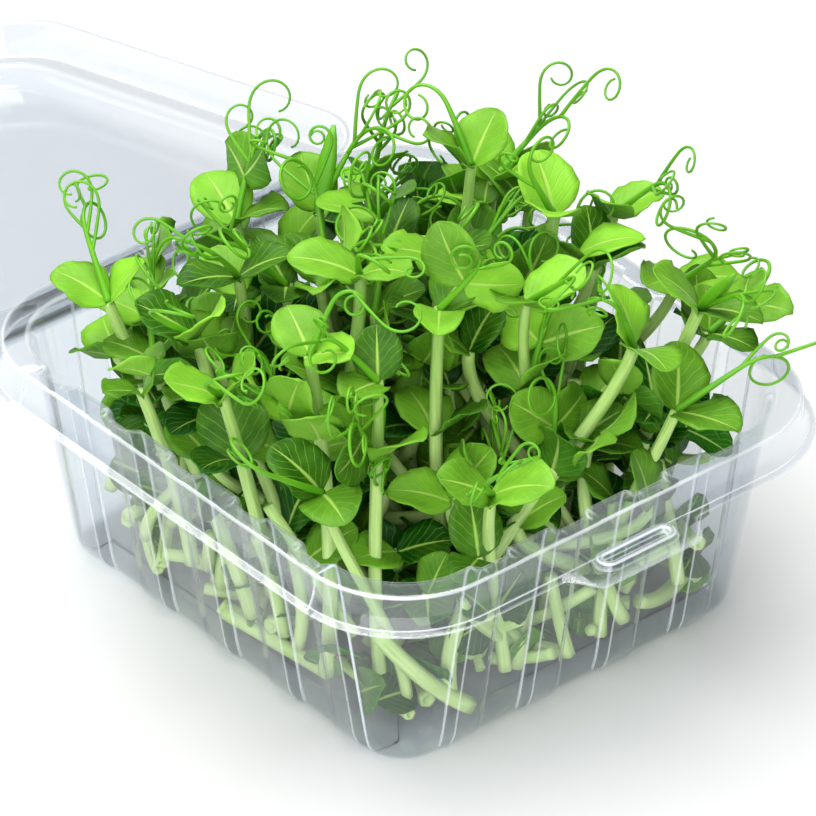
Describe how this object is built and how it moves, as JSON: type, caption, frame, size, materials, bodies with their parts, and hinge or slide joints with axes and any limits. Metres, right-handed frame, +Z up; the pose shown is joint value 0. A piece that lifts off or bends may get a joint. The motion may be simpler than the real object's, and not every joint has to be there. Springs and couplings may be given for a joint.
{
  "type": "pea shoot microgreens tray",
  "caption": "Heap of leafy pea shoots with curled tendrils in a clear ribbed clamshell tray, its domed lid laid open on a hinge line.",
  "frame": {"origin": "on the table, under the middle of the tray's flat base", "axes": "+Z up; the latch tab faces -Y, the hinge line and the open lid are on +Y"},
  "size_m": [0.1536, 0.3464, 0.1197],
  "materials": {
    "clear_pet": "clear thermoformed PET sheet, glossy",
    "pea_shoots": "waxy green leaves, pale ridged stems"
  },
  "bodies": {
    "tray": {"tray": "clear_pet", "pea_shoots_01": "pea_shoots", "pea_shoots_02": "pea_shoots", "pea_shoots_03": "pea_shoots", "pea_shoots_04": "pea_shoots", "pea_shoots_05": "pea_shoots", "pea_shoots_06": "pea_shoots", "pea_shoots_07": "pea_shoots", "pea_shoots_08": "pea_shoots", "pea_shoots_09": "pea_shoots", "pea_shoots_10": "pea_shoots", "pea_shoots_11": "pea_shoots", "pea_shoots_12": "pea_shoots", "pea_shoots_13": "pea_shoots", "pea_shoots_14": "pea_shoots", "pea_shoots_15": "pea_shoots", "pea_shoots_16": "pea_shoots", "pea_shoots_17": "pea_shoots", "pea_shoots_18": "pea_shoots"},
    "lid": {"lid": "clear_pet"}
  },
  "joints": [
    {"name": "lid_hinge", "type": "hinge", "parent": "tray", "child": "lid", "pos_m": [0, 0.087, 0.05215], "axis": [1, 0, 0], "range_deg": [0, 100]}
  ]
}
